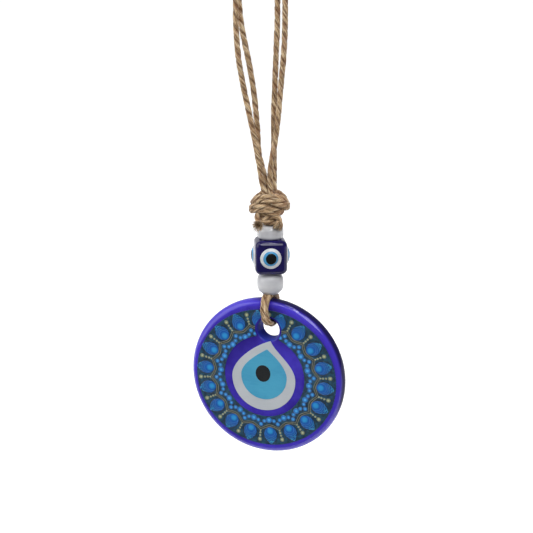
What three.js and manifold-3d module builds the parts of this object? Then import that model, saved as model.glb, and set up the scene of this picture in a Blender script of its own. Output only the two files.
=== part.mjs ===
// Evil eye ornament: a printed cobalt glass disc and three beads, hung on doubled jute twine.
// Millimetres, +Z up, the disc faces -Y. The origin is where a peg or hook holds the two loops.
import * as THREE from "three";
import { RoundedBoxGeometry } from "three/addons/geometries/RoundedBoxGeometry.js";
import { mergeVertices } from "three/addons/utils/BufferGeometryUtils.js";
import Module from "manifold-3d";

const wasm = await Module();
wasm.setup();

const degree = Math.PI / 180;
const clearance = 0.3; // between pieces that touch

// Twine
const twineDiameter = 2.5; // where it hangs free
const pressedDiameter = 2.3; // where it is squeezed through the beads and round the glass
const twineSides = 8;
const loopSteps = 29; // sections along each tube
const bightSteps = 21;
const roundSides = 24; // facets round a small turned piece
const discSides = 64;
const loopTurn = 20 * degree; // the loops, knot and cube are turned about the hanging line
const loopDepth = 1.5; // each loop's distance in front of or behind the hanging line
const strandOffset = 1.3; // four strands pass the beads, each this far across and this far in front or behind
const strandEnd = -155.7; // inside the lower bead, where the strands go on as the two bights

// Knot
const knotTop = -113;
const knotBottom = -123;
const knotOffset = -0.5; // to the left of the hanging line
const knotFlattening = 0.85; // front to back against side to side
const knotCoreRadius = 4.2;
const wrapRadius = 6.65; // middle of the wrapped twine
const wrapThickness = 4.1; // two turns of twine, pulled tight
const wrapHeight = 3.5;
const wrapTilt = 10 * degree; // the wraps run down to the right
const upperWrapHeight = -116.1;
const lowerWrapHeight = -120.2;
const cutEndDiameter = 3.6;

// Beads
const boreRadius = 3.25;
const beadRadius = 5.75;
const upperBeadTop = -126.2;
const upperBeadHeight = 6.3;
const upperBeadRounding = 2;
const lowerBeadMiddle = -151.9;
const lowerBeadHeight = 9.2;
const cubeSize = 14;
const cubeRounding = 2.8;
const cubeMiddle = -139.9;
const cubeTurn = 24.5 * degree;
const cubeSides = ["front", "right", "back", "left"];
const eyeLayers = [
  { name: "eye_white", radius: 4.65, start: -0.3, thickness: 0.75, colour: 0xe6e8ea },
  { name: "eye_iris", radius: 3.5, start: 0.75, thickness: 0.3, colour: 0x4f9fd2 },
  { name: "eye_pupil", radius: 2.3, start: 1.35, thickness: 0.3, colour: 0x0f1414 },
];
const eyePocketDepth = 0.6;

// Glass disc
const discRadius = 35;
const discThickness = 7.5;
const rimRounding = 3;
const discMiddle = new THREE.Vector3(-1, 0, -194.5);
const holeRadius = 5;
const holeRounding = 0.8;
const holeOffset = new THREE.Vector2(1.35, 22); // from the disc's middle
const inlayThickness = 0.2;
const inlayFront = -discThickness / 2 - clearance;

// Printed eye, measured from the disc's middle
const filmMiddle = new THREE.Vector2(0.45, 0.3);
const filmRadius = 31.5;
const irisFieldMiddle = new THREE.Vector2(-0.45, 0.4); // the bare glass round the eye
const irisFieldRadius = 18.5;
const whiteDrop = {
  middle: [-0.75, -0.6], radius: 14.7, tip: [2.3, 15.9], leftPull: [-6.5, -2], rightPull: [2.4, -4.6],
};
const blueDrop = {
  middle: [-0.4, 0.35], radius: 10.85, tip: [0.85, 13], leftPull: [-3.9, -2.5], rightPull: [2.8, -2.2],
};
const dropShoulder = 0.5; // of the radius: how far up a drop's round part keeps its width
const pupilMiddle = new THREE.Vector2(-0.95, 1.6);
const pupilHalfWidth = 3.3;
const pupilHalfHeight = 3.8;

const jute = new THREE.MeshStandardMaterial({ color: 0xb09470, roughness: 0.95, metalness: 0 });
const whiteGlass = new THREE.MeshStandardMaterial({ color: 0xd6d7da, roughness: 0.2, metalness: 0 });
const navyGlass = new THREE.MeshStandardMaterial({ color: 0x1c145a, roughness: 0.1, metalness: 0 });
const cobaltGlass = new THREE.MeshStandardMaterial({ color: 0x3a2bbe, roughness: 0.08, metalness: 0 });
const filmInk = new THREE.MeshStandardMaterial({ color: 0x1b4a72, roughness: 0.25, metalness: 0 });
const whiteInk = new THREE.MeshStandardMaterial({ color: 0xc0c5ca, roughness: 0.25, metalness: 0 });
const blueInk = new THREE.MeshStandardMaterial({ color: 0x4ba0c3, roughness: 0.25, metalness: 0 });
const blackInk = new THREE.MeshStandardMaterial({ color: 0x232628, roughness: 0.25, metalness: 0 });

// The same solid with shared corners and without the slivers that a lathe leaves at its axis.
function welded(geometry) {
  const bare = geometry.clone();
  bare.deleteAttribute("normal");
  bare.deleteAttribute("uv");
  const merged = mergeVertices(bare, 1e-4);
  const corners = merged.index.array;
  const kept = [];
  for (let i = 0; i < corners.length; i += 3) {
    const [a, b, c] = corners.subarray(i, i + 3);
    if (a !== b && b !== c && c !== a) kept.push(a, b, c);
  }
  merged.setIndex(kept);
  return merged;
}

function toManifold(geometry) {
  const closed = welded(geometry);
  return new wasm.Manifold(new wasm.Mesh({
    numProp: 3,
    vertProperties: new Float32Array(closed.attributes.position.array),
    triVerts: new Uint32Array(closed.index.array),
  }));
}

function cut(geometry, ...cutters) {
  let solid = toManifold(geometry);
  for (const cutter of cutters) solid = solid.subtract(toManifold(cutter));
  const mesh = solid.getMesh();
  const result = new THREE.BufferGeometry();
  result.setAttribute("position", new THREE.BufferAttribute(mesh.vertProperties, 3));
  result.setIndex(new THREE.BufferAttribute(mesh.triVerts, 1));
  return result;
}

function piece(name, geometry, material) {
  const mesh = new THREE.Mesh(welded(geometry), material);
  mesh.geometry.computeVertexNormals();
  mesh.name = name;
  return mesh;
}

// A place in the loops' plane: along it, in front of it, and up.
function inLoopPlane(along, front, up) {
  return new THREE.Vector3(along, -front, up).applyAxisAngle(new THREE.Vector3(0, 0, 1), loopTurn);
}

function twine(points, diameter, steps) {
  const section = new THREE.Shape();
  for (let i = 0; i < twineSides; i += 1) {
    const angle = (i + 0.5) * 2 * Math.PI / twineSides;
    const corner = [diameter / 2 * Math.cos(angle), diameter / 2 * Math.sin(angle)];
    if (i === 0) section.moveTo(...corner);
    else section.lineTo(...corner);
  }
  const path = new THREE.CatmullRomCurve3(points, false, "centripetal");
  return new THREE.ExtrudeGeometry(section, { steps, bevelEnabled: false, extrudePath: path });
}

// A loop rises from the knot, goes over its round crown and comes back down: pairs of along and up.
function loop(front, leftLeg, crown, rightLeg) {
  const over = [];
  for (let angle = 180; angle >= 0; angle -= 30) {
    const turn = angle * degree;
    over.push([crown.along + crown.radius * Math.cos(turn), crown.up + crown.radius * Math.sin(turn)]);
  }
  const points = [...leftLeg, ...over, ...rightLeg].map(([along, up]) => inLoopPlane(along, front, up));
  return twine(points, twineDiameter, loopSteps);
}

function frontLoop() {
  const left = [[-2.2, -113], [-3.5, -108], [-4.9, -101], [-6.5, -90], [-9, -78], [-11.5, -66],
    [-13.3, -55], [-14.2, -43], [-14.2, -31], [-14.1, -20]];
  const right = [[6, -20], [6, -31], [5.95, -43], [5.4, -55], [4.4, -66], [3.4, -78], [2, -90],
    [1, -101], [0.75, -113]];
  return loop(loopDepth, left, { along: -4, up: -8, radius: 10 }, right);
}

function backLoop() {
  const left = [[-1.1, -113], [-2.9, -108], [-4.8, -96], [-5.6, -84], [-6.7, -72], [-8.5, -60],
    [-10.7, -49], [-12.3, -40], [-13, -31], [-13.1, -18]];
  const right = [[2.9, -18], [2.9, -31], [2.8, -43], [2.3, -55], [1.9, -66], [1.5, -78], [1.5, -90],
    [1.6, -101], [1.9, -113]];
  return loop(-loopDepth, left, { along: -5, up: -6, radius: 8 }, right);
}

function knotCore() {
  const height = knotTop - knotBottom - 4 * clearance;
  const core = new THREE.CylinderGeometry(knotCoreRadius, knotCoreRadius, height, roundSides);
  return core.rotateX(Math.PI / 2);
}

function knotWrap() {
  const section = new THREE.Path();
  section.absellipse(wrapRadius, 0, wrapThickness / 2, wrapHeight / 2, 0, 2 * Math.PI);
  return new THREE.LatheGeometry(section.getPoints(4), roundSides).rotateX(Math.PI / 2).rotateY(wrapTilt);
}

// The knot's pieces sit on their own oval: wide from side to side, flatter from front to back.
function knotGroup() {
  const group = new THREE.Group();
  const pieces = [
    ["knot_core", knotCore(), (knotTop + knotBottom) / 2],
    ["knot_upper_wrap", knotWrap(), upperWrapHeight],
    ["knot_lower_wrap", knotWrap(), lowerWrapHeight],
  ];
  for (const [name, geometry, height] of pieces) {
    const mesh = piece(name, geometry.scale(1, knotFlattening, 1), jute);
    mesh.position.copy(inLoopPlane(knotOffset, 0, height));
    mesh.rotation.z = loopTurn;
    group.add(mesh);
  }
  return group;
}

function cutEnds() {
  const left = [inLoopPlane(-4.6, 5.9, -123.3), inLoopPlane(-5.6, 6.9, -125.5), inLoopPlane(-6, 7.6, -127.6)];
  const right = [inLoopPlane(2.6, 6.3, -123.3), inLoopPlane(2.9, 7, -125.2), inLoopPlane(3, 7.3, -127.2)];
  return [
    piece("cut_end_left", twine(left, cutEndDiameter, 2), jute),
    piece("cut_end_right", twine(right, cutEndDiameter, 2), jute),
  ];
}

function beadStrands() {
  const top = knotBottom - clearance;
  const bottom = strandEnd + clearance;
  const places = [
    ["front_left", -1, -1], ["front_right", 1, -1], ["back_left", -1, 1], ["back_right", 1, 1],
  ];
  return places.map(([name, right, behind]) => {
    const ends = [top, bottom].map((up) => new THREE.Vector3(right * strandOffset, behind * strandOffset, up));
    return piece(`bead_strand_${name}`, twine(ends, pressedDiameter, 1), jute);
  });
}

// The twine leaves the lower bead, parts over the rim and turns through the hole, twice side by side.
function discBight(side) {
  const route = [
    [0, -1.3, strandEnd], [0, -1.4, -156.5], [0, -2.2, -157.6], [0.1, -3.75, -159], [0.2, -5.1, -161],
    [0.3, -5.7, -163.2], [0.4, -5.8, -165], [0.45, -5.5, -167.1], [0.45, -4.65, -168.8], [0.45, -3, -169.5],
    [0.45, 0, -169.5], [0.45, 3, -169.5], [0.45, 4.6, -168.7], [0.45, 5.4, -167.1], [0.4, 5.5, -165],
    [0.3, 5.5, -163.2], [0.2, 5.1, -161], [0.1, 3.75, -159], [0, 2.2, -157.6], [0, 1.4, -156.5],
    [0, 1.3, strandEnd],
  ];
  const points = route.map(([x, y, z]) => new THREE.Vector3(x + side * strandOffset, y, z));
  return twine(points, pressedDiameter, bightSteps);
}

function upperBead() {
  const profile = new THREE.Path();
  const side = beadRadius - upperBeadRounding;
  const shoulder = upperBeadHeight / 2 - upperBeadRounding;
  profile.moveTo(boreRadius, -upperBeadHeight / 2);
  profile.lineTo(side, -upperBeadHeight / 2);
  profile.absarc(side, -shoulder, upperBeadRounding, -Math.PI / 2, 0, false);
  profile.absarc(side, shoulder, upperBeadRounding, 0, Math.PI / 2, false);
  profile.lineTo(boreRadius, upperBeadHeight / 2);
  profile.closePath();
  return new THREE.LatheGeometry(profile.getPoints(2), roundSides).rotateX(Math.PI / 2);
}

function lowerBead() {
  const profile = new THREE.Path();
  const reach = Math.asin(lowerBeadHeight / 2 / beadRadius);
  profile.moveTo(boreRadius, -lowerBeadHeight / 2);
  profile.lineTo(beadRadius * Math.cos(reach), -lowerBeadHeight / 2);
  profile.absarc(0, 0, beadRadius, -reach, reach, false);
  profile.lineTo(boreRadius, lowerBeadHeight / 2);
  profile.closePath();
  return new THREE.LatheGeometry(profile.getPoints(4), roundSides).rotateX(Math.PI / 2);
}

function cubeBead() {
  const bore = new THREE.CylinderGeometry(boreRadius, boreRadius, cubeSize + 2, roundSides).rotateX(Math.PI / 2);
  const pocketRadius = eyeLayers[0].radius + clearance;
  const pockets = cubeSides.map((side, i) => {
    const pocket = new THREE.CylinderGeometry(pocketRadius, pocketRadius, 2 * eyePocketDepth, roundSides);
    return pocket.translate(0, -cubeSize / 2, 0).rotateZ(i * Math.PI / 2);
  });
  const block = new RoundedBoxGeometry(cubeSize, cubeSize, cubeSize, 2, cubeRounding);
  return cut(block, bore, ...pockets);
}

// One flat-backed drop of glass with a domed front, facing -Y.
function eyeDot(layer) {
  const half = layer.thickness / 2;
  const profile = new THREE.Path();
  profile.moveTo(0, 0);
  profile.lineTo(layer.radius, 0);
  profile.lineTo(layer.radius, half);
  profile.quadraticCurveTo(layer.radius - half, layer.thickness, layer.radius * 0.6, layer.thickness);
  profile.lineTo(0, layer.thickness);
  return new THREE.LatheGeometry(profile.getPoints(2), roundSides).rotateZ(Math.PI);
}

function cubeGroup() {
  const group = new THREE.Group();
  group.add(piece("cube_bead", cubeBead(), navyGlass));
  cubeSides.forEach((side, i) => {
    const face = new THREE.Group();
    face.rotation.z = i * Math.PI / 2;
    for (const layer of eyeLayers) {
      const colour = new THREE.MeshStandardMaterial({ color: layer.colour, roughness: 0.1, metalness: 0 });
      const dot = piece(`${side}_${layer.name}`, eyeDot(layer), colour);
      dot.position.y = -cubeSize / 2 - layer.start;
      face.add(dot);
    }
    group.add(face);
  });
  group.position.z = cubeMiddle;
  group.rotation.z = cubeTurn;
  return group;
}

function holeCutter() {
  const half = discThickness / 2;
  const profile = new THREE.Path();
  profile.moveTo(0, -half - 1);
  profile.lineTo(holeRadius + holeRounding, -half - 1);
  profile.lineTo(holeRadius + holeRounding, -half);
  profile.absarc(holeRadius + holeRounding, -half + holeRounding, holeRounding, -Math.PI / 2, -Math.PI, true);
  profile.absarc(holeRadius + holeRounding, half - holeRounding, holeRounding, Math.PI, Math.PI / 2, true);
  profile.lineTo(holeRadius + holeRounding, half + 1);
  profile.lineTo(0, half + 1);
  return new THREE.LatheGeometry(profile.getPoints(2), roundSides).translate(holeOffset.x, 0, holeOffset.y);
}

function glassDisc() {
  const half = discThickness / 2;
  const flat = discRadius - rimRounding;
  const profile = new THREE.Path();
  profile.moveTo(0, -half);
  profile.lineTo(flat, -half);
  profile.absarc(flat, -half + rimRounding, rimRounding, -Math.PI / 2, 0, false);
  profile.absarc(flat, half - rimRounding, rimRounding, 0, Math.PI / 2, false);
  profile.lineTo(0, half);
  return cut(new THREE.LatheGeometry(profile.getPoints(2), discSides), holeCutter());
}

// A flat inlay: its outline lies in the disc's plane and its front faces -Y.
function inlay(outline) {
  const flat = new THREE.ExtrudeGeometry(outline, {
    depth: inlayThickness, bevelEnabled: false, curveSegments: discSides / 2,
  });
  return flat.rotateX(Math.PI / 2).translate(0, inlayFront, 0);
}

function circle(middle, radius) {
  return new THREE.Shape().absarc(middle.x, middle.y, radius, 0, 2 * Math.PI, false);
}

// A round drop whose two sides are drawn up to a point; inset moves its whole outline inwards.
function drop({ middle: [x, y], radius, tip, leftPull, rightPull }, inset = 0) {
  const round = radius - inset;
  const peak = [tip[0], tip[1] - 1.5 * inset];
  const shoulder = y + dropShoulder * round;
  const shape = new THREE.Shape();
  shape.moveTo(...peak);
  shape.bezierCurveTo(peak[0] + leftPull[0], peak[1] + leftPull[1], x - round, shoulder, x - round, y);
  shape.absarc(x, y, round, Math.PI, 2 * Math.PI, false);
  shape.bezierCurveTo(x + round, shoulder, peak[0] + rightPull[0], peak[1] + rightPull[1], ...peak);
  return shape;
}

function pupil(grow = 0) {
  return new THREE.Shape().absellipse(pupilMiddle.x, pupilMiddle.y, pupilHalfWidth + grow,
    pupilHalfHeight + grow, 0, 2 * Math.PI);
}

function mandalaFilm() {
  const blank = inlay(circle(filmMiddle, filmRadius));
  const field = new THREE.CylinderGeometry(irisFieldRadius, irisFieldRadius, discThickness, discSides);
  field.translate(irisFieldMiddle.x, inlayFront, irisFieldMiddle.y);
  const holeClearance = holeRadius + holeRounding + clearance;
  const hole = new THREE.CylinderGeometry(holeClearance, holeClearance, discThickness, roundSides);
  hole.translate(holeOffset.x, inlayFront, holeOffset.y);
  return cut(blank, field, hole);
}

function whiteInlay() {
  const outline = drop(whiteDrop);
  outline.holes.push(drop(blueDrop));
  return inlay(outline);
}

function blueInlay() {
  const outline = drop(blueDrop, clearance);
  outline.holes.push(pupil(clearance));
  return inlay(outline);
}

function discGroup() {
  const group = new THREE.Group();
  group.add(piece("glass_disc", glassDisc(), cobaltGlass));
  group.add(piece("mandala_film", mandalaFilm(), filmInk));
  group.add(piece("eye_white_drop", whiteInlay(), whiteInk));
  group.add(piece("eye_blue_drop", blueInlay(), blueInk));
  group.add(piece("eye_pupil_spot", inlay(pupil()), blackInk));
  group.position.copy(discMiddle);
  return group;
}

function bead(name, geometry, middle) {
  const mesh = piece(name, geometry, whiteGlass);
  mesh.position.z = middle;
  return mesh;
}

const ornament = new THREE.Group();
ornament.add(piece("loop_front", frontLoop(), jute));
ornament.add(piece("loop_back", backLoop(), jute));
ornament.add(knotGroup());
ornament.add(...cutEnds());
ornament.add(...beadStrands());
ornament.add(bead("upper_white_bead", upperBead(), upperBeadTop - upperBeadHeight / 2));
ornament.add(cubeGroup());
ornament.add(bead("lower_white_bead", lowerBead(), lowerBeadMiddle));
ornament.add(piece("disc_bight_left", discBight(-1), jute));
ornament.add(piece("disc_bight_right", discBight(1), jute));
ornament.add(discGroup());

export default ornament;
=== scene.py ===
import math
import random

import bmesh
import bpy
import numpy as np
from mathutils import Matrix, Vector, noise


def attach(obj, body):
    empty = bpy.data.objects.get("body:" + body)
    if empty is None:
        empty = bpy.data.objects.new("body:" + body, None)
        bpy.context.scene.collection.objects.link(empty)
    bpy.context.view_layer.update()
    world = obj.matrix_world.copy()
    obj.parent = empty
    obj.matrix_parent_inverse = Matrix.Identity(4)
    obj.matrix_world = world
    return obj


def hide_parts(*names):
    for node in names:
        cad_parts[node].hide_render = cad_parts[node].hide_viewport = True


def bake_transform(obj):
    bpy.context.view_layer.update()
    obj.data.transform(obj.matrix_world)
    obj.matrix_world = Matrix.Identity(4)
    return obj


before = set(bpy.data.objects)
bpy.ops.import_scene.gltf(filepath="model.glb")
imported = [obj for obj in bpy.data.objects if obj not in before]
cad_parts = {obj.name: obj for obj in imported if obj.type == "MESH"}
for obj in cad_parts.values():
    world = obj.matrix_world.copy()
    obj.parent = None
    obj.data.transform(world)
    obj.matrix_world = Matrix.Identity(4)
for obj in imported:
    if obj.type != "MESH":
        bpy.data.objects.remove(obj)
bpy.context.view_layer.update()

mm = 0.001


# camera

view = {
    "azimuth": 19.5, "elevation": 14.5,       # degrees to the right of the printed face, and above it
    "distance": 0.57, "lens": 89, "sensor": 36,
    "aim": (-0.00155, -0.00055, -0.145),
}


def setCamera():
    turn, rise = math.radians(view["azimuth"]), math.radians(view["elevation"])
    back = Vector((math.sin(turn) * math.cos(rise), -math.cos(turn) * math.cos(rise), math.sin(rise)))
    camera = bpy.data.objects.new("camera", bpy.data.cameras.new("camera"))
    camera.data.lens = view["lens"]
    camera.data.sensor_width = view["sensor"]
    camera.data.clip_start = 0.01
    camera.location = Vector(view["aim"]) + back * view["distance"]
    camera.rotation_euler = back.to_track_quat("Z", "Y").to_euler()
    bpy.context.collection.objects.link(camera)
    bpy.context.scene.camera = camera


setCamera()
print("camera set")


# materials

def rgb(red, green, blue):
    # screen colour, 0 to 255, to the linear colour that shaders take
    linear = []
    for part in (red, green, blue):
        part /= 255
        linear.append(part / 12.92 if part <= 0.04045 else ((part + 0.055) / 1.055) ** 2.4)
    return (*linear, 1)


class Value:
    # one shader socket; sums on it add Math nodes
    def __init__(self, finish, socket):
        self.finish = finish
        self.socket = socket

    def maths(self, operation, *values):
        return self.finish.node("ShaderNodeMath", {"operation": operation}, values)

    def __add__(self, other):
        return self.maths("ADD", self, other)

    def __sub__(self, other):
        return self.maths("SUBTRACT", self, other)

    def __mul__(self, other):
        return self.maths("MULTIPLY", self, other)

    def __truediv__(self, other):
        return self.maths("DIVIDE", self, other)

    def __pow__(self, other):
        return self.maths("POWER", self, other)

    def __rsub__(self, other):
        return self.maths("SUBTRACT", other, self)

    __radd__ = __add__
    __rmul__ = __mul__

    def size(self):
        return self.maths("ABSOLUTE", self)

    def floor(self):
        return self.maths("FLOOR", self)

    def sin(self):
        return self.maths("SINE", self)

    def cos(self):
        return self.maths("COSINE", self)

    def root(self):
        return self.maths("SQRT", self)

    def highest(self, other):
        return self.maths("MAXIMUM", self, other)

    def lowest(self, other):
        return self.maths("MINIMUM", self, other)

    def step(self, low, high):
        # 0 below low and 1 above high, or the other way round when low is the larger
        return self.finish.node("ShaderNodeMapRange", {"interpolation_type": "SMOOTHSTEP"},
                                {"Value": self, "From Min": low, "From Max": high})


class Nodes:
    # a node tree and short ways to add to it
    def __init__(self, tree):
        self.nodes = tree.nodes
        self.links = tree.links

    def feed(self, socket, value):
        if isinstance(value, Value):
            self.links.new(value.socket, socket)
        else:
            socket.default_value = value

    def node(self, kind, settings=None, values=(), output=0):
        node = self.nodes.new(kind)
        for name, setting in (settings or {}).items():
            if name == "stops":
                self.setStops(node.color_ramp, setting)
            else:
                setattr(node, name, setting)
        for name, value in (values.items() if isinstance(values, dict) else enumerate(values)):
            self.feed(node.inputs[name], value)
        return Value(self, node.outputs[output])

    def setStops(self, ramp, stops):
        while len(ramp.elements) < len(stops):
            ramp.elements.new(0.5)
        for element, (place, colour) in zip(ramp.elements, stops):
            element.position = place
            element.color = colour

    def stretched(self, vector, scale, location=(0, 0, 0)):
        return self.node("ShaderNodeMapping", None, {"Vector": vector, "Scale": scale, "Location": location})

    def parts(self, vector):
        split = self.nodes.new("ShaderNodeSeparateXYZ")
        self.feed(split.inputs[0], vector)
        return [Value(self, split.outputs[i]) for i in range(3)]

    def noise(self, vector, scale, detail=3, roughness=0.5):
        return self.node("ShaderNodeTexNoise", None,
                         {"Vector": vector, "Scale": scale, "Detail": detail, "Roughness": roughness})

    def mix(self, amount, first, second):
        return self.node("ShaderNodeMix", {"data_type": "RGBA"}, {0: amount, 6: first, 7: second}, output=2)


class Finish(Nodes):
    # one material and its Principled shader
    def __init__(self, name, colour, roughness, **sockets):
        self.material = bpy.data.materials.new(name)
        self.material.use_nodes = True
        self.material.diffuse_color = colour
        super().__init__(self.material.node_tree)
        self.shader = self.nodes["Principled BSDF"]
        self.use("Base Color", colour)
        self.use("Roughness", roughness)
        for socket, value in sockets.items():
            self.use(socket.replace("_", " "), value)

    def use(self, socket, value):
        self.feed(self.shader.inputs[socket], value)

    def shaderOut(self):
        return Value(self, self.shader.outputs[0])

    def place(self):
        return self.node("ShaderNodeTexCoord", output="Object")

    def uv(self):
        return self.node("ShaderNodeTexCoord", output="UV")

    def bump(self, height, distance, strength=1.0):
        self.use("Normal", self.node("ShaderNodeBump", None,
                                     {"Strength": strength, "Distance": distance, "Height": height}))


# twine

twine = {
    "free": 2.45 * mm,       # diameter where it hangs
    "pressed": 2.3 * mm,     # diameter in the knot, the beads and round the glass
    "pitch": 10 * mm,        # length of one full turn of its two plies
    "groove": 0.18,          # depth of the line between the plies, as a share of the radius
    "grooveWidth": 0.42,
    "unevenness": 0.07,
    "fibreRelief": 0.05,
    "sides": 28,
    "step": 0.45 * mm,
    "hairs": {"loops": 2000, "knot": 2200, "disc": 1500},     # loose fibres in each metre
    "hairLift": {"loops": 0.8 * mm, "knot": 0.8 * mm, "disc": 0.6 * mm},
    "frayed": 150,           # stiff fibres in each cut end
    # shadow and light paint the shade and highlights among the fibres, besides the fibres' own tone
    "shadow": rgb(102, 66, 40), "brown": rgb(170, 137, 100), "fibre": rgb(212, 178, 136),
    "light": rgb(250, 232, 196), "patch": rgb(166, 116, 84),
}
loopTurn = math.radians(20)   # the loops and the knot are turned about the hanging line


def juteFinish():
    finish = Finish("jute twine", twine["fibre"], 0.85, Specular_IOR_Level=0.25, Sheen_Weight=0.25,
                    Sheen_Roughness=0.5)
    uv = finish.uv()
    along, around, _ = finish.parts(uv)
    # the fibres lie at a lower angle than the plies
    lay = finish.node("ShaderNodeCombineXYZ", None, [along * 0.26, (around - along * 0.035) * 22])
    fibres = finish.noise(lay, 1, 4, 0.7)
    coarse = finish.noise(finish.stretched(uv, (0.12, 5, 1), (7, 3, 0)), 1, 2)
    patches = finish.noise(finish.place(), 190, 2)
    # painted shade: the groove between the plies is mixed toward the shadow colour below
    groove = ((around * (4 * math.pi)).cos() * 0.5 + 0.5).step(0.66, 1.0)
    tone = (fibres * 0.85 + coarse * 0.25 - 0.05).step(0.38, 0.64)
    # the tone ramp from shadow to light is the fibres' own tone and also painted fine shade and highlights
    colour = finish.node("ShaderNodeValToRGB", {"stops": [
        (0.0, twine["shadow"]), (0.28, twine["brown"]), (0.6, twine["fibre"]), (1.0, twine["light"])]}, [tone])
    colour = finish.mix(patches.step(0.48, 0.7) * 0.4, colour, twine["patch"])
    finish.use("Base Color", finish.mix(groove * 0.7, colour, twine["shadow"]))
    finish.bump(fibres + coarse * 0.5 - groove * 0.5, 0.45 * mm)
    return finish.material


jute = juteFinish()


def inLoopPlane(along, front, up):
    return Matrix.Rotation(loopTurn, 3, "Z") @ Vector((along * mm, -front * mm, up * mm))


def smoothLine(points, step):
    # evenly spaced points on a smooth curve through given ones
    knots = [Vector(p) for p in points]
    knots = [2 * knots[0] - knots[1], *knots, 2 * knots[-1] - knots[-2]]
    fine, cuts = [], 16
    for a, b, c, d in zip(knots, knots[1:], knots[2:], knots[3:]):
        t1 = (b - a).length ** 0.5
        t2 = t1 + (c - b).length ** 0.5
        t3 = t2 + (d - c).length ** 0.5
        for i in range(cuts):
            t = t1 + (t2 - t1) * i / cuts
            ab = a.lerp(b, t / t1)
            bc = b.lerp(c, (t - t1) / (t2 - t1))
            cd = c.lerp(d, (t - t2) / (t3 - t2))
            abc = ab.lerp(bc, t / t2)
            bcd = bc.lerp(cd, (t - t1) / (t3 - t1))
            fine.append(abc.lerp(bcd, (t - t1) / (t2 - t1)))
    fine = np.array([*fine, knots[-2]])
    reach = np.concatenate([[0], np.cumsum(np.linalg.norm(np.diff(fine, axis=0), axis=1))])
    stations = np.linspace(0, reach[-1], max(3, round(reach[-1] / step) + 1))
    return np.stack([np.interp(stations, reach, fine[:, i]) for i in range(3)], axis=1), float(reach[-1])


def sideways(line):
    # two directions across the line at each point, carried along without twisting
    tangents = np.gradient(line, axis=0)
    tangents /= np.linalg.norm(tangents, axis=1, keepdims=True)
    first = Vector(tangents[0]).orthogonal().normalized()
    across = []
    for tangent in tangents:
        tangent = Vector(tangent)
        first = (first - tangent * first.dot(tangent)).normalized()
        across.append((first.copy(), tangent.cross(first)))
    return across


def wrapGrid(bm, uvLayer, columns, rows, place, stretch):
    # a sheet rolled into a tube: place(i, v) gives the point for column i and turn v
    new = bmesh.ops.create_grid(bm, x_segments=columns, y_segments=rows, size=0.5, calc_uvs=False)["verts"]
    flat = {v: (v.co.x + 0.5, v.co.y + 0.5) for v in new}
    faces = {f for v in new for f in v.link_faces}
    for face in faces:
        face.smooth = True
        for corner in face.loops:
            u, v = flat[corner.vert]
            corner[uvLayer].uv = (u * stretch, v)
    seam = []
    ends = ([], [])
    for vert, (u, v) in flat.items():
        vert.co = place(u * columns, v)
        if round(v, 6) in (0, 1):
            seam.append(vert)
        if round(u, 6) in (0, 1):
            ends[round(u)].append(vert)
    bmesh.ops.remove_doubles(bm, verts=seam, dist=1e-7)
    for end in ends:
        edges = {e for v in end if v.is_valid for e in v.link_edges if e.is_boundary}
        bmesh.ops.holes_fill(bm, edges=list(edges), sides=0)


def layTwine(bm, uvLayer, points, diameter, seed, flare=0):
    # one twisted length; flare opens its last few millimetres and hollows its end
    line, length = smoothLine(points, twine["step"])
    across = sideways(line)
    last = len(line) - 1
    radius = diameter / 2
    opened, hollowed = 4 * mm, 4    # the hollow is counted in rings

    def place(i, v):
        i = min(last, round(i))
        run = length * i / last
        ply = 2 * math.pi * v
        turn = ply - 2 * math.pi * run / twine["pitch"] + seed * 1.7
        opening = max(0.0, 1 - (length - run) / opened)
        groove = math.exp(-(math.sin(ply) / twine["grooveWidth"]) ** 2) * twine["groove"] * (1 - opening)
        wide = noise.noise(Vector((run / (5 * mm), seed * 3.1, 0)))
        bulge = noise.noise(Vector((run / (2.2 * mm), 2.2 * math.cos(ply), 2.2 * math.sin(ply) + seed)))
        fibre = noise.noise(Vector((run / (3 * mm), 9 * math.cos(ply) + seed, 9 * math.sin(ply))))
        reach = radius * (1 - groove + twine["unevenness"] * (wide + bulge) + twine["fibreRelief"] * fibre)
        reach *= 1 + flare * opening ** 1.5
        hollow = max(0.0, (i - last + hollowed) / hollowed) if flare else 0
        reach *= 1 - 0.75 * hollow ** 1.3
        first, second = across[i]
        back = (Vector(line[last - hollowed]) - Vector(line[last])) * hollow * 1.5
        return Vector(line[i]) + back + reach * (first * math.cos(turn) + second * math.sin(turn))

    wrapGrid(bm, uvLayer, last, twine["sides"], place, length / mm)
    return line, length, across


def addHairs(bm, uvLayer, strand, diameter, where, seed):
    # loose fibres that leave the twine at a low angle
    line, length, across = strand
    chance = random.Random(seed)
    last = len(line) - 1
    root = diameter / 2 * 0.97
    hairs = []
    for _ in range(int(twine["hairs"][where] * length)):
        start = chance.uniform(0, length)
        run = chance.uniform(2.0, 5.5) * mm * chance.choice((-1, 1))
        angle = chance.uniform(0, 2 * math.pi)
        swing = chance.uniform(-1.6, 1.6)
        rise = twine["hairLift"][where] * chance.random() ** 2.2
        thick = chance.uniform(0.03, 0.055) * mm
        path = []
        for i in range(5):
            t = i / 4
            place = min(max(start + run * t, 0), length)
            station = min(last, round(last * place / length))
            first, second = across[station]
            turn = angle - 2 * math.pi * place / twine["pitch"] + swing * t * t
            out = first * math.cos(turn) + second * math.sin(turn)
            path.append(Vector(line[station]) + (root + rise * t * t) * out)
        hairs.append((path, thick))
    growFibres(bm, uvLayer, hairs)


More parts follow.
